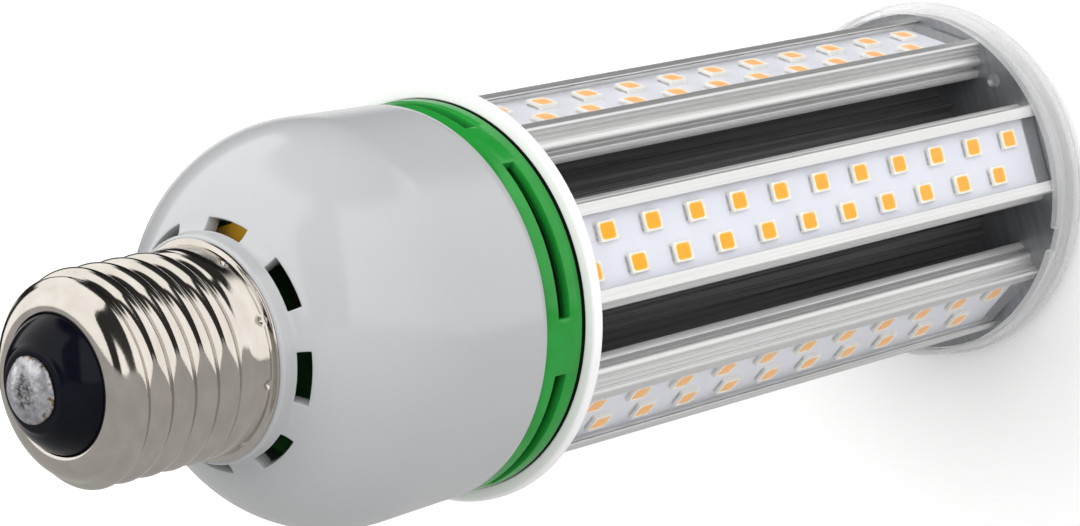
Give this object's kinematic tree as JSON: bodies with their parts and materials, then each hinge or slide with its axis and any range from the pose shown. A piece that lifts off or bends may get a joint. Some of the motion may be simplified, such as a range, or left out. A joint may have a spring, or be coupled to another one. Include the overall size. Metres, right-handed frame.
{
  "type": "corn led bulb",
  "caption": "Tall led bulb with a medium screw cap: led strips round a ribbed core, a vented bowl for the driver and a clear end cover.",
  "frame": {"origin": "centre of the flat end cover, which the bulb stands on", "axes": "+Z along the bulb's axis towards the cap's contact; the front led strip faces -Y"},
  "size_m": [0.055, 0.055, 0.1789],
  "materials": {
    "tin": "rough solder",
    "black_glass": "glossy black",
    "nickel": "bright nickel plate",
    "bowl_grey": "glossy",
    "green": "glossy",
    "white": "satin",
    "dark_core": "dark anodised",
    "satin_aluminium": "satin extruded",
    "plate_aluminium": "satin",
    "board_white": "satin white mask",
    "led": "phosphor window in a white body",
    "clear": "clear glossy",
    "screw_steel": "zinc plate",
    "board_green": "green solder mask",
    "ferrite": "matt",
    "amber_tape": "taped",
    "amber_case": "moulded case",
    "can_sleeve": "sleeve",
    "copper_wire": "lacquered wire",
    "black_epoxy": "moulded",
    "wire_white": "insulated wire",
    "wire_red": "insulated wire",
    "wire_black": "insulated wire"
  },
  "bodies": {
    "root": {"base_screws": "screw_steel", "bowl_housing": "bowl_grey", "cap_insulator": "black_glass", "centre_contact": "tin", "cover_strip_1": "clear", "cover_strip_2": "clear", "cover_strip_3": "clear", "cover_strip_4": "clear", "cover_strip_5": "clear", "cover_strip_6": "clear", "dc_lead_negative": "wire_black", "dc_lead_positive": "wire_red", "driver_board": "board_green", "driver_capacitor": "can_sleeve", "driver_choke": "copper_wire", "driver_film_capacitor": "amber_case", "driver_rectifier": "black_epoxy", "end_board": "board_white", "end_cover": "clear", "end_led_group": "led", "end_plate": "plate_aluminium", "end_screws": "screw_steel", "flange_ring": "white", "heat_sink_core": "dark_core", "led_board_1": "board_white", "led_board_2": "board_white", "led_board_3": "board_white", "led_board_4": "board_white", "led_board_5": "board_white", "led_board_6": "board_white", "led_group_1": "led", "led_group_2": "led", "led_group_3": "led", "led_group_4": "led", "led_group_5": "led", "led_group_6": "led", "live_wire": "wire_white", "neutral_wire": "wire_white", "screw_shell": "nickel", "strip_profile_1": "satin_aluminium", "strip_profile_2": "satin_aluminium", "strip_profile_3": "satin_aluminium", "strip_profile_4": "satin_aluminium", "strip_profile_5": "satin_aluminium", "strip_profile_6": "satin_aluminium", "transformer_core": "ferrite", "transformer_winding": "amber_tape", "vent_ring": "green"}
  },
  "joints": []
}
